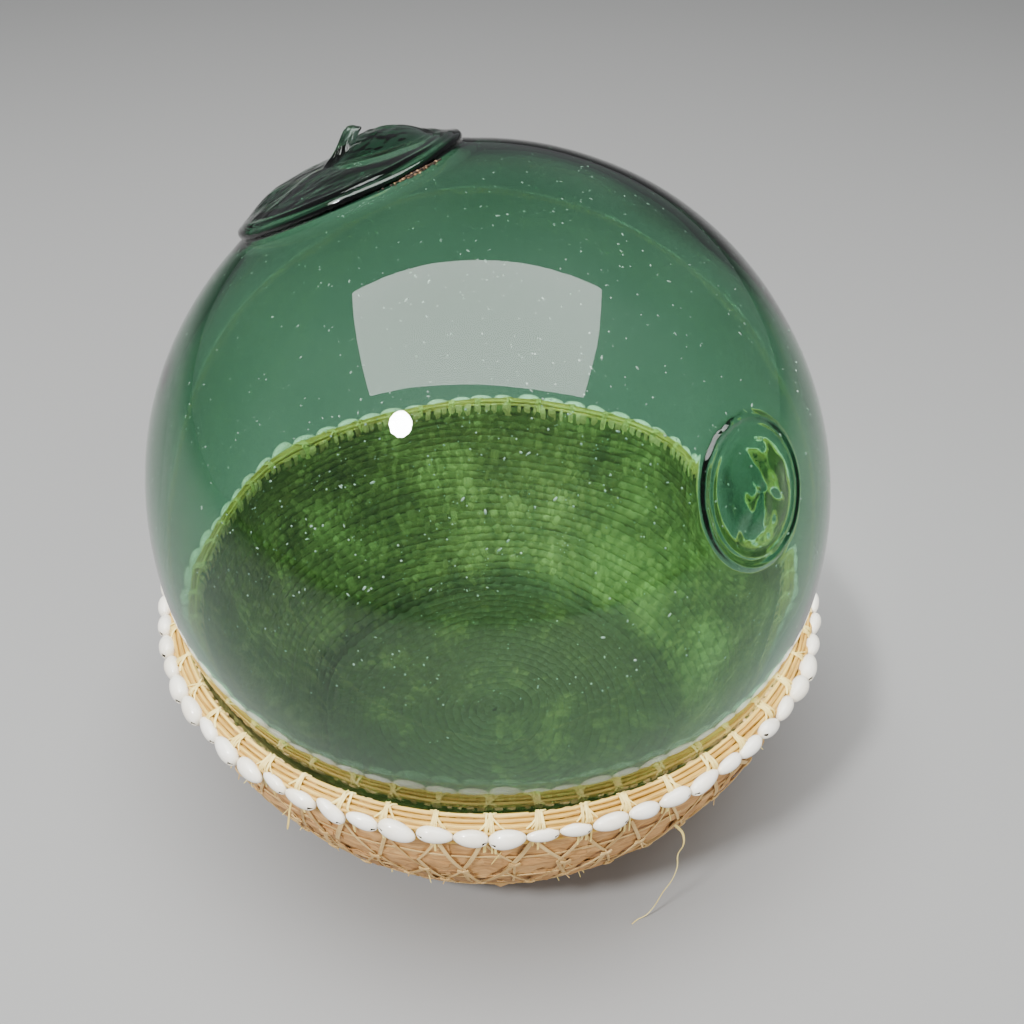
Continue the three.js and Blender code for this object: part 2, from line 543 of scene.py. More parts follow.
def shape_seal(co):
    """The seal's lip wanders, its crown carries a second gather off centre, and its top is torn."""
    radius = co.xy.length
    if co.z < 0 or radius > CREASE_RADIUS + 2.1 * MM:
        return co
    angle = math.atan2(co.y, co.x)
    lip = bell(radius - LIP_RADIUS, 2.2 * MM)
    co.xy *= 1 + 0.016 * ripple(angle, 2.1, 3.7) * lip
    co.z += 0.9 * MM * ripple(angle, 1.6, 9.2) * lip
    co.z += seal_change(co)
    reach = (co.xy - GATHER_PLACE).length
    gather_edge = bell(reach - GATHER_RADIUS, 0.9 * MM)
    torn = ramp_up((15 * MM - reach) / (6 * MM))
    within = ramp_up((48 * MM - radius) / (6 * MM))
    wrinkled = within * ramp_up((12 * MM - co.x) / (20 * MM))
    co.z += 0.45 * MM * gather_edge
    co.z += 0.7 * MM * torn * noise.noise(co / (4.2 * MM))
    co.z += 0.5 * MM * within * noise.noise(co / (12 * MM))
    co.z += 0.16 * MM * wrinkled * noise.noise(Vector((co.x / (6 * MM), co.y / (2.2 * MM), 4.4)))
    return co


def pull_nub(piece):
    """The broken pontil stub: faces on the crown drawn up into a leaning, twisted curl.

    Each step goes across, back and up in millimetres, and takes a share of the last one's size.
    """

    def under_nub(face):
        return (face.center.xy - NUB_PLACE).length < NUB_RADIUS and face.center.z > SEAL_LIP_HEIGHT

    pick(piece, under_nub, "polygons")
    steps = [(0.9, 0.1, 0.4, 0.82), (1.3, 0.2, 0.9, 0.76), (1.6, 0.2, 1.3, 0.84), (1.8, 0.3, 1.6, 0.92),
             (1.8, 0.3, 1.6, 0.98), (1.6, 0.2, 1.3, 0.98), (1.3, -0.1, 0.8, 0.92), (0.9, -0.2, 0.3, 0.72),
             (0.4, -0.1, 0.0, 0.45)]
    centre = Vector((NUB_PLACE.x, NUB_PLACE.y, SEAL_LIP_HEIGHT + 13.5 * MM))
    twist = 0.12
    curl = -0.11
    for across, back, up, scale in steps:
        move = Vector((across, back, up)) * MM
        centre += move
        bpy.ops.mesh.extrude_region_move(TRANSFORM_OT_translate={"value": move})
        bpy.ops.transform.resize(value=(scale, scale * 0.93, scale), center_override=centre)
        bpy.ops.transform.rotate(value=twist, orient_axis="Z", center_override=centre)
        bpy.ops.transform.rotate(value=curl, orient_axis="Y", center_override=centre)
    done()


def ball_arc(radius, pole, end, count):
    """The ball's section from its foot up to a distance from the axis at the top."""
    last = math.pi - math.asin(end / radius)
    arc = []
    for index in range(count):
        angle = last * index / count
        arc.append(Vector((radius * math.sin(angle), 0, -pole * math.cos(angle))))
    return arc


def outer_skin():
    """The ball and its seal in one skin, with a round opening where the side patch goes."""
    ball = ball_arc(BALL_RADIUS, BALL_POLE, CREASE_RADIUS, 104)
    skin = spun("float_skin", ball + seal_outline(), 192)
    reshape(skin, shape_seal)
    pull_nub(skin)
    opening = PATCH_EDGE + 0.6 * MM  # a little wider than the patch, so that the two can be bridged
    reach = math.sqrt(BALL_RADIUS**2 - opening**2)
    edit(skin)
    bpy.ops.mesh.bisect(plane_co=PATCH_IN_FLOAT * reach, plane_no=PATCH_IN_FLOAT, clear_outer=True)
    done()
    return skin


def patch_outline():
    """The patch's section: a low rounded rim and a fainter one inside it, round a domed disc."""
    rise = [(PATCH_EDGE / MM, 0), (30.0, 0.1), (29.3, 0.5), (28.7, 1.0), (28.0, 1.2), (27.2, 0.95),
            (26.4, 0.5), (25.6, 0.35), (24.8, 0.6), (24.0, 0.65), (23.0, 0.4), (21.0, 0.35), (17.0, 0.7),
            (10.0, 1.4), (0, 1.8)]
    points = [(r * MM, 0, math.sqrt(BALL_RADIUS**2 - (r * MM) ** 2) + h * MM) for r, h in rise]
    return Route(curved(points)).every(0.7 * MM)


def shape_patch(co):
    """Three creases meet in the patch's middle, its disc is whorled, and its top edge is crumbled."""
    radius = co.xy.length
    angle = math.atan2(co.y, co.x)
    inside = ramp_up((21.4 * MM - radius) / (4 * MM))
    for crease in (0.25, 2.2, 4.0):
        turned = angle - crease
        off = radius * abs(math.sin(turned)) if math.cos(turned) > 0 else radius
        co.z -= 0.24 * MM * inside * bell(off, 2.2 * MM)
    co.z += 0.12 * MM * inside * math.sin(radius / (2.6 * MM) + 2 * angle)
    co.z += 0.22 * MM * inside * noise.noise(co / (6 * MM))
    crumbs = bell(angle, 0.55) * bell(radius - 28.8 * MM, 1.8 * MM)
    co.z += 2.2 * MM * crumbs * abs(noise.noise(Vector((angle * 14, radius / (2 * MM), 1.3))))
    co.z += 0.4 * MM * noise.noise(Vector((angle * 3, 5.1, 0))) * bell(radius - 27 * MM, 3 * MM)
    return co


def side_patch():
    """The round patch, an open dish that the outer skin's opening is bridged to."""
    patch = spun("float_patch", patch_outline(), 108)
    reshape(patch, shape_patch)
    turn(patch, PATCH_TURN.to_4x4())
    return patch


def inner_skin():
    """The wall's inner face. It follows the seal from below and thickens the wall behind the patch."""
    ball = ball_arc(BALL_RADIUS - WALL, BALL_POLE - WALL, HOLLOW_RADIUS, 72)
    ceiling = SEAL_LIP_HEIGHT - CROWN_THICKNESS
    dome = [(r * MM, 0, ceiling + crown(r * MM)) for r in (41, 37, 32, 26, 18, 9, 0)]
    hollow = Route(curved([ball[-1], *dome])).every(1.8 * MM)
    skin = spun("float_inside", ball + hollow[1:], 128)

    def swell(co):
        edge = HOLLOW_RADIUS - 1.5 * MM
        if co.z > 0 and co.xy.length < edge:
            co.z += seal_change(co) * ramp_up((edge - co.xy.length) / (4 * MM))
        off = co.normalized().angle(PATCH_IN_FLOAT) * BALL_RADIUS
        return co * (1 - 0.026 * bell(off, 24 * MM))

    reshape(skin, swell)
    edit(skin)
    bpy.ops.mesh.flip_normals()
    done()
    return skin


def blown_glass():
    """The whole float: its outer skin bridged to the patch, its inner skin, and a slow wave in both."""
    skin = join("float_skin", [outer_skin(), side_patch()])
    edit(skin, "EDGE")
    bpy.ops.mesh.select_all(action="DESELECT")
    bpy.ops.mesh.select_non_manifold(
        use_wire=False, use_multi_face=False, use_non_contiguous=False, use_verts=False
    )
    bpy.ops.mesh.bridge_edge_loops()
    done()
    tidy(skin, 0.002 * MM)
    glass = join("blown_glass", [skin, inner_skin()])
    waves = bpy.data.textures.new("blown_waves", "CLOUDS")
    waves.noise_scale = 70 * MM
    waves.noise_depth = 1
    modify(glass, "DISPLACE", texture=waves, strength=0.9 * MM, mid_level=0.5)
    turn(glass, Matrix.Translation(BALL_CENTRE) @ FLOAT_TURN.to_4x4())
    smooth(glass, 50)
    # the glass's shadow on the basket's inside is painted into the inside leaf's colour instead
    glass.visible_shadow = False  # so that the lamps light the inside of the basket
    return finish(glass, glass_finish(), "glass", "glass_float")


def scattered(pattern, count, depth, size, lean=0.0):
    """Copies of a small ball at a depth in the glass. With more lean, more of them lie on its upper front."""
    made = []
    low_size = 0.35 if lean else 0.8
    for _ in range(count):
        way = Vector((random.gauss(0, 1), random.gauss(-lean, 1), random.gauss(1.3 * lean, 1))).normalized()
        half = size() * (1 if way.z > 0.1 else low_size)
        long = random.choice((1, 1, 1, 1.4, 2.2))
        place = Matrix.Translation(BALL_CENTRE + way * (BALL_RADIUS - depth()))
        lie = way.to_track_quat("Z", "Y").to_matrix().to_4x4()
        spin = Matrix.Rotation(random.uniform(0, math.pi), 4, "Z")
        speck = copy_of(pattern)
        speck.matrix_world = place @ lie @ spin @ Matrix.Diagonal((half * long, half, half * 0.7, 1))
        made.append(speck)
    return made


def seed_bubbles():
    """Seeds caught in the wall and pale mineral specks on its face."""
    bpy.ops.mesh.primitive_ico_sphere_add(subdivisions=1, radius=1)
    pattern = named("bubble")
    within = scattered(
        pattern, 500, lambda: random.uniform(0.6, 3.0) * MM, lambda: random.uniform(0.14, 0.45) * MM
    )
    on_face = scattered(
        pattern, 3000, lambda: -0.02 * MM, lambda: (0.11 + 0.45 * random.random() ** 4) * MM, lean=1.0
    )
    discard(pattern)
    seeds = join("seed_bubbles", within + on_face)
    settle(seeds)
    smooth(seeds, 180)
    return finish(seeds, bubble_finish(), "glass")


def seal_crust():
    """Rusty grit that has stayed in the crease under the seal's lip: a thin seam, and crumbs round it."""
    seam = crust_seam()
    bpy.ops.mesh.primitive_ico_sphere_add(subdivisions=1, radius=1)
    grit = named("grit")
    grain_of(grit, lambda co: co.x * MM, lambda co: co.y * MM, 0.5)
    crumbs = [crust_crumb(grit) for _ in range(110)]
    discard(grit)
    crust = join("seal_crust", [seam, *crumbs])
    settle(crust)
    smooth(crust)
    return crust


def crust_seam():
    """A thin uneven line of rust along the crease, thickest in its middle."""
    pattern = blank("crust", 6, 30)
    points = []
    for step in range(12):
        points.append(in_crease(math.radians(2 * step - 72), 51.3 + 0.3 * math.sin(step * 2.3), -0.2))

    def size(share):
        rough = 1 + 1.3 * noise.noise(Vector((share * 26, 3.1, 0)))
        fade = bell(share - 0.5, 0.42)
        return 0.6 * MM * rough * fade, 0.5 * MM * rough * fade

    seam = lay(copy_of(pattern), Route(points), size, upward, 0.15)
    discard(pattern)
    return seam


def crust_crumb(grit):
    """A crumb somewhere near the seam. Most are dark, and a few are pale."""
    angle = math.radians(random.gauss(-60, 6.5))
    crumb = copy_of(grit)
    set_number(crumb, random.random() ** 3 * 1.3 - 0.2)
    spot = in_crease(angle, random.uniform(51.2, 52.6), random.uniform(-0.9, 0.1))
    half = random.uniform(0.15, 0.5) * MM
    crumb.matrix_world = Matrix.Translation(spot) @ Matrix.Diagonal((half * 1.5, half, half, 1))
    return crumb


def in_crease(angle, radius, height):
    """A place by the seal's lip: millimetres from the seal's axis, and over the plane of the lip."""
    from_lip = Vector((radius * math.cos(angle), radius * math.sin(angle), height)) * MM
    return BALL_CENTRE + FLOAT_TURN @ (from_lip + Vector((0, 0, SEAL_LIP_HEIGHT)))


# ---- blanks bent along lines


def blank(name, sides, *parts):
    """A straight round blank, one long and one to its radius, cut into equal lengths, then those again."""
    bpy.ops.mesh.primitive_cylinder_add(vertices=sides, radius=1, depth=1, location=(0, 0, 0.5))
    piece = named(name)
    settle(piece)

    def runs_along(edge):
        first, second = (piece.data.vertices[index].co.z for index in edge.vertices)
        return abs(first - second) > 1e-5

    for count in parts:
        pick(piece, runs_along, "edges")
        bpy.ops.mesh.subdivide(number_cuts=count - 1)
        done()
    return piece


def flat_blank(name, lengths, widths):
    """A straight thin strip, one long and two wide, with a little thickness."""
    bpy.ops.mesh.primitive_grid_add(x_subdivisions=widths, y_subdivisions=lengths, size=2)
    piece = named(name)
    piece.rotation_euler = (math.pi / 2, 0, 0)
    piece.scale = (1, 0.5, 1)
    piece.location = (0, 0, 0.5)
    settle(piece)
    modify(piece, "SOLIDIFY", thickness=1.0, offset=0)
    return piece


def lay(piece, route, size, lift, number=None):
    """Bends a blank along a route. size(share) gives its half width and half thickness there."""
    number = random.random() if number is None else number
    half = size(0.5)[0]
    grain_of(piece, lambda co: co.z * route.length, lambda co: co.x * half, number)

    @functools.cache
    def station(share):
        point, along = route.at(share * route.length)
        side = along.cross(lift(point)).normalized()
        return (point, side, side.cross(along), *size(share))

    def place(co):
        point, side, up, wide, thick = station(round(co.z, 5))
        return point + side * (co.x * wide) + up * (co.y * thick)

    reshape(piece, place)
    return piece


def strand(pattern, points, wide, thick, lift, taper=0.25, per_span=4, number=None):
    """One strand of fibre along a few points, narrower at its ends."""
    swell = random.uniform(0.9, 1.15)

    def size(share):
        end = 1 - taper * bell(min(share, 1 - share), 0.07)
        return wide * end * swell, thick * end

    return lay(copy_of(pattern), Route(curved(points, per_span)), size, lift, number)


# ---- the basket's form


def wall_radius(height):
    """The wall's outside at a height: a quarter of a sine wave from the base out to the rim."""
    share = min(max(height / RIM_HEIGHT, 0.0), 1.0)
    return BASE_RADIUS + (RIM_RADIUS - BASE_RADIUS) * math.sin(share * math.pi / 2)


def out_of_wall(height):
    """The way out of the wall at a height, in radius and height."""
    slope = (wall_radius(height + 0.5 * MM) - wall_radius(height - 0.5 * MM)) / MM
    return Vector((1, 0, -slope)).normalized()


def around(angle, radius, height):
    """A point round the basket. Angle 0 is the front."""
    return Vector((radius * math.sin(angle), -radius * math.cos(angle), height))


def on_wall(angle, height, lift=0.0):
    """A point on the wall's outside, or lifted off it."""
    way = out_of_wall(height)
    return around(angle, wall_radius(height) + way.x * lift, height + way.z * lift)


def away(point):
    """The way out of the wall at a point in space."""
    way = out_of_wall(point.z)
    flat = Vector((point.x, point.y, 0)).normalized()
    return flat * way.x + Vector((0, 0, way.z))


def upward(point):
    return Vector((0, 0, 1))


def across_rim(section, first, second):
    """Points over the rim from one angle to another. The section is in millimetres, radius and height."""
    points = []
    for step, (radius, height) in enumerate(section):
        angle = first + (second - first) * step / (len(section) - 1)
        points.append(around(angle, radius * MM, height * MM))
    return points


COIL_PITCH = 4.75 * MM
COIL_DEPTH = 2.0 * MM  # from the wall's outside in to the coil's middle


def coil_profile():
    """The line the coil's middle follows, in radius and height: the floor, then up the wall."""
    floor = [(0.3, 3.0), (30, 3.0), (60, 3.0), (88, 3.0), (94.5, 3.1)]
    line = [Vector((r * MM, 0, h * MM)) for r, h in floor]
    for height in (*range(4, 110, 3), 110):
        way = out_of_wall(height * MM)
        line.append(Vector((wall_radius(height * MM), 0, height * MM)) - way * COIL_DEPTH)
    return Route(curved(line, 3))


COIL = coil_profile()
COIL_TURNS = COIL.length / COIL_PITCH


def coil_at(turn):
    """The coil's middle at a turn, the way up the profile there and the way out of the floor or wall."""
    point, along = COIL.at(turn * COIL_PITCH)
    angle = 2 * math.pi * turn
    drift = 0.3 * MM * ripple(angle, 2.2, turn * 0.7)
    out = Vector((along.z, 0, -along.x))
    point = point + along * drift
    turned = Matrix.Rotation(angle, 3, "Z")
    return turned @ point, turned @ along, turned @ out


def coil_size(point):
    """Half the coil's width up the profile and half its thickness, on the floor or on the wall."""
    on_floor = point.z < 3.4 * MM
    return (2.75 * MM, 2.75 * MM) if on_floor else (2.6 * MM, 1.95 * MM)


def shaded(point):
    """How much darker the leaf is, deep in the basket where the light would be least."""
    return 1.8 * ramp_up((24 * MM - point.z) / (20 * MM))


# ---- the coiled basket


def basket_coil():
    """One long bundle of leaf, wound from the middle of the floor up to the rim."""
    rod = blank("basket_coil", 8, 70, 62)
    first = 0.05
    number = 0.4
    grain_of(rod, lambda co: co.z * 26, lambda co: 2.3 * MM * co.x, number)

    @functools.cache
    def station(share):
        turn = first + (COIL_TURNS - first) * share**0.75
        return turn, *coil_at(turn)

    def place(co):
        turn, point, up, out = station(round(co.z, 6))
        wide, thick = coil_size(point)
        plump = 1 + 0.1 * noise.noise(Vector((turn * 40, 0.3, 0)))
        return point + up * (squarer(co.x) * wide) + out * (squarer(co.y) * thick * plump)

    reshape(rod, place)
    # painted shade: the coil's number drops deep in the basket, so its colour darkens there
    for vertex, item in zip(rod.data.vertices, rod.data.attributes["grain"].data):
        item.vector.z = number - shaded(vertex.co)
    smooth(rod)
    return rod


def squarer(value):
    """Makes a round section squarer, as coils pressed on each other are."""
    return math.copysign(abs(value) ** 0.6, value)


STITCH_SPACING = 7.2 * MM


def coil_stitches():
    """Leaf stitches over the coil's inner face, each slanting across one round of it."""
    pattern = blank("stitch", 5, 4)
    made = []
    turn = 0.5
    while turn < COIL_TURNS - 0.1:
        made.append(stitch(pattern, turn))
        spacing = STITCH_SPACING * random.uniform(0.75, 1.3)
        turn += spacing / (2 * math.pi * coil_at(turn)[0].xy.length)
    return gathered("coil_stitches", pattern, made)


def stitch(pattern, turn):
    """A stitch over the coil's inner face at a turn, from one side of its round to the other."""
    point, up, out = coil_at(turn)
    thick = coil_size(point)[1]
    slant = up.cross(out) * random.uniform(-1.8, 1.8) * MM
    high = random.uniform(0.02, 0.3) * MM
    middle = point - out * (thick + high)
    foot = point - out * (thick * 0.55)
    tall = random.choice((1, 1, 1, 1.2, 1.7))
    end = up * 2.5 * MM * tall + slant
    shoulder = up * 1.1 * MM * tall + slant * 0.5
    wide = random.uniform(1.0, 2.9) * MM
    # painted shade: the stitch's number drops deep in the basket, as the coil's does
    number = random.random() - shaded(point)
    line = [foot - end, middle - shoulder, middle + shoulder, foot + end]
    return strand(pattern, line, wide, 0.26 * MM, lambda p: -out, taper=0.3, per_span=3, number=number)


LOWEST_LEAF = 2.6 * MM  # the lowest a strip may lie and still clear the ground


def leaf_strips():
    """Broad strips of leaf over the outside, crinkled, lapped at their ends and edges.

    Each course has its height and half its strips' width in millimetres, and its number of strips.
    """
    pattern = flat_blank("leaf", 22, 6)
    made = []
    courses = [(5, 11, 13), (20, 12, 14), (38, 12, 15), (57, 12, 16), (75, 11, 17), (92, 11, 17)]
    for height, half, count in courses:
        first = random.random()
        for index in range(count):
            made.append(leaf_strip(pattern, height * MM, half * MM, count, index + first))
    return gathered("leaf_strips", pattern, made)


def leaf_strip(pattern, height, half, count, place):
    """One strip of a course, laid from its place on to past the next one's start."""
    sweep = 2 * math.pi / count
    begin = (place + random.uniform(-0.1, 0.1)) * sweep
    tilt = random.uniform(-3, 3) * MM
    seed = random.uniform(0, 90)
    strip = copy_of(pattern)
    grain_of(strip, lambda co: co.z * 70 * MM, lambda co: co.x * half, random.random())

    def lie(co):
        angle = begin + sweep * 1.22 * co.z
        edge = half * (1 - 0.25 * bell(co.z, 0.08) - 0.25 * bell(1 - co.z, 0.08))
        edge *= 1 + 0.2 * noise.noise(Vector((co.z * 6, seed, 0)))
        level = max(height + tilt * (co.z - 0.5) + co.x * edge, LOWEST_LEAF)
        level = min(level, RIM_HEIGHT - 2 * MM)
        crease = noise.noise(Vector((co.z * 6, co.x * 2.2, seed)))
        fine = noise.noise(Vector((co.z * 19, co.x * 5, seed)))
        lift = 0.95 + 0.5 * co.z + 0.6 * (co.x < -0.7) + 1.2 * crease + 1.1 * fine
        return on_wall(angle, level, max(lift, 0.2) * MM + co.y * 0.35 * MM)

    reshape(strip, lie)
    return strip


# ---- the raffia lattice and the rim

LACE_COUNT = 48


def lace_angle(index, share=0.0):
    """The angle of a meeting place in the net: a step's, or a share of a step on, and a little astray."""
    wander = 0.34 * noise.noise(Vector((index * 1.7, 4.2, share * 2.6)))
    return 2 * math.pi * (index + share + wander) / LACE_COUNT


def between(first, second, lift):
    """A few points on the wall from one place to another, each an angle and a height in millimetres."""
    points = []
    for share in (0, 0.33, 0.66, 1):
        angle = first[0] + (second[0] - first[0]) * share
        height = first[1] + (second[1] - first[1]) * share
        points.append(on_wall(angle, height * MM, lift * MM * (1 + 0.5 * share * (1 - share))))
    return points


def raffia_lattice():
    """Flat raffia crossing in a net under the shells, knotted where strands meet."""
    pattern = blank("raffia", 6, 12)
    made = []
    for index in range(LACE_COUNT):
        top = (lace_angle(index), 101 + random.uniform(-2, 2))
        middle = [(lace_angle(index, side), 78 + random.uniform(-5.5, 5.5)) for side in (-0.5, 0.5)]
        low = (lace_angle(index, random.uniform(-0.15, 0.15)), 55 + random.uniform(-5, 5))
        for node in middle:
            made.append(lace(pattern, top, node, 1.9))
            made.append(lace(pattern, node, low, 2.2))
        made.append(lace(pattern, middle[1], (middle[1][0] + random.uniform(-0.03, 0.03), 46), 1.6))
        made.append(lace(pattern, low, (low[0] + random.uniform(-0.04, 0.04), 30), 1.6))
        made += knot(pattern, middle[1]) + knot(pattern, low)
    made += hoops(pattern)
    return gathered("raffia_lattice", pattern, made)


def lace(pattern, first, second, lift):
    """One strand of the net, from one meeting place to another."""
    wide = random.uniform(0.5, 1.15) * MM
    return strand(pattern, between(first, second, lift + random.uniform(0, 0.5)), wide, 0.26 * MM, away)


def knot(pattern, place):
    """Two short turns wound over a crossing, with a bit of an end left standing."""
    made = []
    for lean in (-1.2, 1.2):
        first = (place[0] - 0.016, place[1] - lean)
        second = (place[0] + 0.016, place[1] + lean)
        made.append(strand(pattern, between(first, second, 2.7), 0.7 * MM, 0.45 * MM, away))
    if random.random() < 0.4:
        base = on_wall(place[0], place[1] * MM, 2.4 * MM)
        tip_angle = place[0] + random.uniform(-0.02, 0.02)
        tip = on_wall(tip_angle, (place[1] - 4) * MM, random.uniform(3.6, 5.2) * MM)
        made.append(strand(pattern, [base, (base + tip) / 2, tip], 0.3 * MM, 0.15 * MM, away, taper=0.6))
    return made


def hoops(pattern):
    """Strands that run round the wall, in short lengths that overlap."""
    made = []
    count = 24
    sweep = 0.31  # a little past the next one's start
    for height in (89, 64, 40):
        for index in range(count):
            begin = 2 * math.pi * index / count
            start = (begin, height + random.uniform(-1.5, 1.5))
            end = (begin + sweep, height + random.uniform(-1.5, 1.5))
            made.append(strand(pattern, between(start, end, 1.8), 0.7 * MM, 0.28 * MM, away))
    return made


def reed(name, ring, height, thick, number):
    """A split reed bent into a ring, a little wavy, looser at the right, its ends lapped."""
    rod = blank(name, 8, 80, 3)
    seed = random.uniform(0, 90)
    start = random.uniform(0, 2 * math.pi)
    count = 240
    lapped = 0.12
    points = []
    for index in range(count + 1):
        share = index / count
        angle = start + share * (2 * math.pi + lapped)
        loose = 1 + 2.5 * bell(math.remainder(angle - 1.1, 2 * math.pi), 0.4)
        wave = 0.28 * MM * loose * ripple(angle, 5, seed)
        lap = 0.3 * MM * (ramp_up(share * 12) - 1 + ramp_up((share - 0.95) * 20))
        points.append(around(angle, ring + wave, height + lap + 0.5 * wave))

    def size(share):
        return thick * (1 + 0.07 * math.sin(share * 160)), thick

    lay(rod, Route(points), size, upward, number)
    smooth(rod)
    return rod


def rim_reeds():
    """Three reeds where the part has them, and finer ones tucked round them.

    Each finer one has its ring, its height and half its thickness in millimetres.
    """
    for index, number in enumerate((0.9, 0.3, 0.6), 1):
        name = f"rim_reed_{index}"
        low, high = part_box(name)
        thick = (high.z - low.z) / 2
        made = reed("reed_ring", high.x - thick, (low.z + high.z) / 2, thick, number)
        made.name = f"reed_ring_{index}"
        finish(made, REED, "reed", name)
    places = [(147.4, 111.9, 0.8), (149.0, 112.1, 0.6), (151.2, 111.4, 0.7), (152.4, 110.6, 0.6),
              (153.4, 110.0, 0.8), (152.9, 107.6, 0.9), (151.3, 103.4, 0.8), (150.9, 100.3, 0.8)]
    fine = [reed("fine_reed", r * MM, h * MM, t * MM, 0.5) for r, h, t in places]
    finish(join("fine_reeds", fine), REED, "reed")


def rim_wraps():
    """Leaf bound closely over the wall's edge, under the reeds."""
    pattern = blank("wrap", 6, 8)
    made = []
    count = 180
    for index in range(count):
        angle = 2 * math.pi * (index + random.uniform(-0.3, 0.3)) / count
        lean = random.uniform(-1.5, 1.5) * MM / RIM_RADIUS
        inner_end = 106 + random.uniform(-2.5, 1.5)
        section = [(147.0, inner_end), (146.1, 108.6), (145.9, 110.8), (146.6, 112.6), (148.2, 112.2),
                   (150.6, 111.3), (151.4, 109.5), (151.1, 105.5)]
        points = across_rim(section, angle, angle + lean)
        wide = random.uniform(0.9, 2.5) * MM
        thick = random.uniform(0.3, 0.75) * MM
        made.append(strand(pattern, points, wide, thick, over_rim, taper=0.2))
    return gathered("rim_wraps", pattern, made)


def over_rim(point):
    """The way out over the rim's rounded top."""
    hub = Vector((point.x, point.y, 0)).normalized() * 148.8 * MM + Vector((0, 0, 106 * MM))
    return (point - hub).normalized()


TIE_COUNT = 49


def rim_ties():
    """Raffia fans that lash the reeds to the wall, wide on the reeds and drawn in between the shells."""
    pattern = blank("raffia", 6, 14)
    made = []
    for index in range(TIE_COUNT):
        angle = 2 * math.pi * (index + random.uniform(-0.12, 0.12)) / TIE_COUNT
        for _ in range(random.choice((4, 5, 6))):
            made.append(tie(pattern, angle))
        for _ in range(2):
            made.append(cross_tie(pattern, angle))
    return gathered("rim_ties", pattern, made)


def tie(pattern, angle):
    """One strand from inside the rim, over the reeds and down between two shells."""
    over = angle + random.uniform(-1.5, 1.5) * MM / RIM_RADIUS
    down = angle + random.uniform(-3.6, 3.6) * MM / RIM_RADIUS
    section = [(146.3, 106), (146.5, 112.4), (147.9, 114.9), (150.2, 114.3), (152.5, 113.5), (153.9, 112.0),
               (153.6, 109.5), (152.4, 104), (151.8, random.uniform(94, 101))]
    uneven = [(radius, height + random.uniform(-0.15, 0.3)) for radius, height in section]
    wide = random.uniform(0.35, 0.7) * MM
    return strand(pattern, across_rim(uneven, over, down), wide, 0.27 * MM, out_of_reeds)


def out_of_reeds(point):
    """The way out of the rim: sideways below the reeds, and mostly up on top of them."""
    sideways = Vector((point.x, point.y, 0)).normalized()
    rise = 2 * ramp_up((point.z - 109 * MM) / (6 * MM))
    return (sideways + Vector((0, 0, rise))).normalized()


def cross_tie(pattern, angle):
    """A strand slanting along the reeds' tops from one tie towards the next."""
    sweep = random.choice((-1, 1)) * random.uniform(4, 9) * MM / RIM_RADIUS
    section = [(146.9, 113.9), (148.2, 114.9), (150.4, 114.2), (152.6, 113.4), (153.6, 112.0)]
    points = across_rim(section, angle - 0.35 * sweep, angle + 0.65 * sweep)
    return strand(pattern, points, random.uniform(0.3, 0.55) * MM, 0.2 * MM, upward)


# ---- the shells

shell_low, shell_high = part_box("shell_18")
SHELL_HEIGHT = (shell_low.z + shell_high.z) / 2
SHELL_RING = ((shell_low + shell_high) / 2).xy.length
SHELL_LENGTH = 14.6 * MM  # an ordinary one: those that are longer are fatter too
SHELL_HALF_OUT = 3.4 * MM
SHELL_HALF_UP = 3.9 * MM
PAIR_RING = 155 * MM
HOLE_EDGE = 1.15  # the grain's second number is more than this in a drilled hole, and nowhere else


def shell_pattern():
    """One small polished shell along X: egg-shaped, blunter at one end, with a drilled hole."""
    bpy.ops.mesh.primitive_uv_sphere_add(segments=20, ring_count=14, radius=1)
    piece = named("shell")
    turn(piece, Matrix.Rotation(math.pi / 2, 4, "Y"))

    def egg(co):
        fuller = 1.09 + 0.15 * co.x + 0.04 * co.x**2
        flat = 0.86 if co.y > 0 else 1
        return Vector((co.x, co.y * fuller * flat * 0.92, co.z * fuller * 0.92))

    grain_of(piece, lambda co: co.x, lambda co: co.y, 0.5)
    reshape(piece, egg)
    spot = Vector((0.78, -0.62, 0.0))
    nearest = sorted(piece.data.polygons, key=lambda face: (face.center - spot).length)
    drilled = {face.index for face in nearest[:4]}
    pick(piece, lambda face: face.index in drilled, "polygons")
    bpy.ops.mesh.inset(thickness=0.02)
    bpy.ops.mesh.extrude_region_move(TRANSFORM_OT_translate={"value": (-0.1, 0.25, -0.05)})
    done()
    # marks the hole's faces, which the shell's finish paints near-black as painted shade
    for vertex, item in zip(piece.data.vertices, piece.data.attributes["grain"].data):
        if vertex.select:
            item.vector.y = 4
    smooth(piece, 50)
    return piece


def placed_shell(pattern, angle, length):
    """A shell on the ring, turned to lie along it, a little out of true.

    Those at the left and the right are fatter, those at the front left drop to one end, and those at the
    back lie a little higher and further out.
    """
    shell = copy_of(pattern)
    set_number(shell, random.random())
    girth = 1 + 0.09 * (length - SHELL_LENGTH) / MM + random.uniform(-0.13, 0.11)
    girth += 0.35 * bell(angle + 1.3, 0.4) + 0.18 * bell(angle - 1.05, 0.35)
    behind = ramp_up((abs(angle) - 1.7) / 0.5)
    flip = Matrix.Rotation(math.pi, 4, "Y") if random.random() < 0.35 else Matrix.Identity(4)
    size = Matrix.Diagonal((length / 2, SHELL_HALF_OUT * girth, SHELL_HALF_UP * girth, 1))
    drop = random.gauss(0.27 * bell(angle + 0.65, 0.55), 0.12)
    lean = Matrix.Rotation(drop, 4, "Y") @ Matrix.Rotation(random.gauss(0, 0.06), 4, "Z")
    ring = SHELL_RING + SHELL_HALF_OUT * (girth - 1) + (0.6 + 0.6 * behind) * MM
    level = SHELL_HEIGHT + (1.0 + random.gauss(0, 0.4) + behind) * MM
    place = Matrix.Translation(around(angle, ring, level))
    turn(shell, place @ Matrix.Rotation(angle, 4, "Z") @ lean @ size @ flip)
    return shell


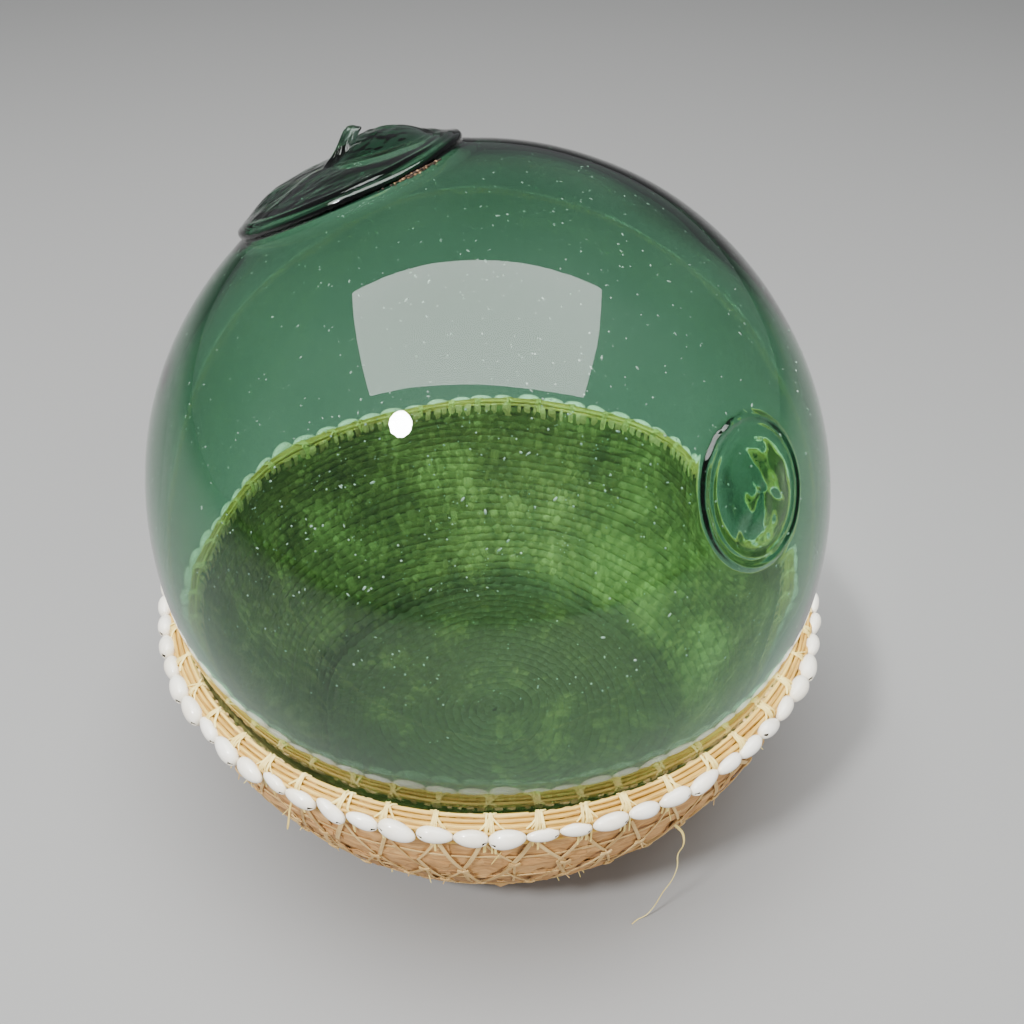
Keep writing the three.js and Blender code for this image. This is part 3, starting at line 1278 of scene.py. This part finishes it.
def shell_places():
    """For each shell node of the part, the angle of its middle and the length round the ring."""
    places = []
    for name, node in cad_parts.items():
        if not name.startswith("shell"):
            continue
        low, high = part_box(name)
        middle = (low + high) / 2
        angle = math.atan2(middle.x, -middle.y)
        along = Vector((math.cos(angle), math.sin(angle), 0))
        reach = [(vertex.co - middle).dot(along) for vertex in node.data.vertices]
        places.append((name, angle, max(reach) - min(reach)))
    return places


def shells():
    """Every shell node gets its own shell, or its pair of shells."""
    pattern = shell_pattern()
    material = shell_finish()
    for name, angle, length in shell_places():
        if name.startswith("shells"):
            step = length / 4 / PAIR_RING
            half = length / 2 + 0.5 * MM
            pair = [placed_shell(pattern, angle + side * step, half) for side in (-1, 1)]
            made = join(f"visual_{name}", pair)
        else:
            made = placed_shell(pattern, angle, length + 0.6 * MM)
            made.name = f"visual_{name}"
        finish(made, material, "shell", name)
    discard(pattern)


# ---- loose fibres


def loose_fibres():
    """A short end under the front left, a long hair down to the floor at the right, and small tufts.

    Their points are in millimetres.
    """
    pattern = blank("fibre", 6, 40)
    hair = [(76.5, -118.0, 72), (80.5, -118.6, 69), (84.5, -119.3, 64), (85.6, -119.6, 56),
            (84.0, -118.4, 47), (84.6, -118.0, 37), (83.0, -118.0, 27), (79.5, -118.4, 18),
            (76.6, -119.0, 9), (73.0, -119.8, 2.2), (69.0, -121.0, 0.6), (66.0, -123.5, 0.4)]
    short = [(-80.4, -130.8, 101), (-81.6, -132.2, 96), (-82.4, -133.2, 91), (-83.4, -133.6, 86)]

    def thinning(share):
        return (0.28 + 0.75 * (1 - share) ** 5) * MM, 0.22 * MM

    hair_line = Route(curved([Vector(p) * MM for p in hair]))
    made = [lay(copy_of(pattern), hair_line, thinning, away),
            strand(pattern, [Vector(p) * MM for p in short], 0.45 * MM, 0.3 * MM, away, taper=0.3)]
    for _ in range(46):
        made.append(tuft(pattern, random.uniform(0, 2 * math.pi), random.uniform(20, 96)))
    return gathered("loose_fibres", pattern, made)


def tuft(pattern, angle, height):
    """A frayed end that stands off the wall as it hangs."""
    points = []
    bend = random.uniform(-0.03, 0.03)
    for step in range(4):
        fall = 1.6 * step
        lift = 1.6 + step
        points.append(on_wall(angle + bend * step / 3, (height - fall) * MM, lift * MM))
    return strand(pattern, points, 0.22 * MM, 0.16 * MM, away, taper=0.6)


# ---- main

LEAF_SHARES = (0.29, 0.06, 0.55, 0.10)  # the inside's leaf is patchier, with less from strand to strand
# painted shade: the inside's leaf is darker and greener than the outside's, standing in for the green glass's
# shadow, which the glass doesn't cast
SHADED_LEAF_INSIDE = fibre_finish(
    "coiled_leaf_in_glass_shade", (0.05, 0.042, 0.008), (0.14, 0.118, 0.027), (0.28, 0.245, 0.075),
    streak=1500, rough=0.62, relief=0.4 * MM, shares=LEAF_SHARES,
)
# painted shade, as for the coil: the stitches are darker and greener where the glass would shade them
SHADED_STITCH_LEAF = fibre_finish(
    "stitch_leaf_in_glass_shade", (0.06, 0.05, 0.010), (0.165, 0.14, 0.035), (0.36, 0.32, 0.105),
    streak=1500, rough=0.55, relief=0.3 * MM, shares=LEAF_SHARES,
)
LEAF = fibre_finish(
    "dry_leaf", (0.19, 0.09, 0.025), (0.49, 0.25, 0.08), (0.70, 0.42, 0.155),
    streak=900, rough=0.6, relief=0.9 * MM,
)
RAFFIA = fibre_finish(
    "raffia", (0.34, 0.19, 0.055), (0.58, 0.37, 0.135), (0.78, 0.57, 0.25),
    streak=3000, rough=0.55, relief=0.2 * MM,
)
TIE = fibre_finish(
    "cream_raffia", (0.60, 0.40, 0.10), (0.86, 0.65, 0.19), (0.96, 0.82, 0.32),
    streak=3000, rough=0.5, relief=0.2 * MM,
)
REED = fibre_finish(
    "split_reed", (0.26, 0.12, 0.015), (0.60, 0.35, 0.06), (0.87, 0.61, 0.16),
    streak=2200, rough=0.5, relief=0.4 * MM,
)
RUST = fibre_finish(
    "rusty_grit", (0.02, 0.010, 0.005), (0.09, 0.042, 0.02), (0.42, 0.25, 0.13),
    streak=3000, rough=0.8, relief=0.4 * MM, shares=(0.45, 0.2, 0.0, 0.35),
)

make_camera()
make_stage()
blown_glass()
seed_bubbles()
finish(seal_crust(), RUST, "glass")
finish(basket_coil(), SHADED_LEAF_INSIDE, "basket_leaf", "basket")
finish(coil_stitches(), SHADED_STITCH_LEAF, "basket_leaf")
finish(leaf_strips(), LEAF, "basket_leaf")
finish(raffia_lattice(), RAFFIA, "reed")
rim_reeds()
finish(rim_wraps(), RAFFIA, "reed")
finish(rim_ties(), TIE, "reed")
shells()
finish(loose_fibres(), TIE, "reed")
bpy.context.view_layer.update()
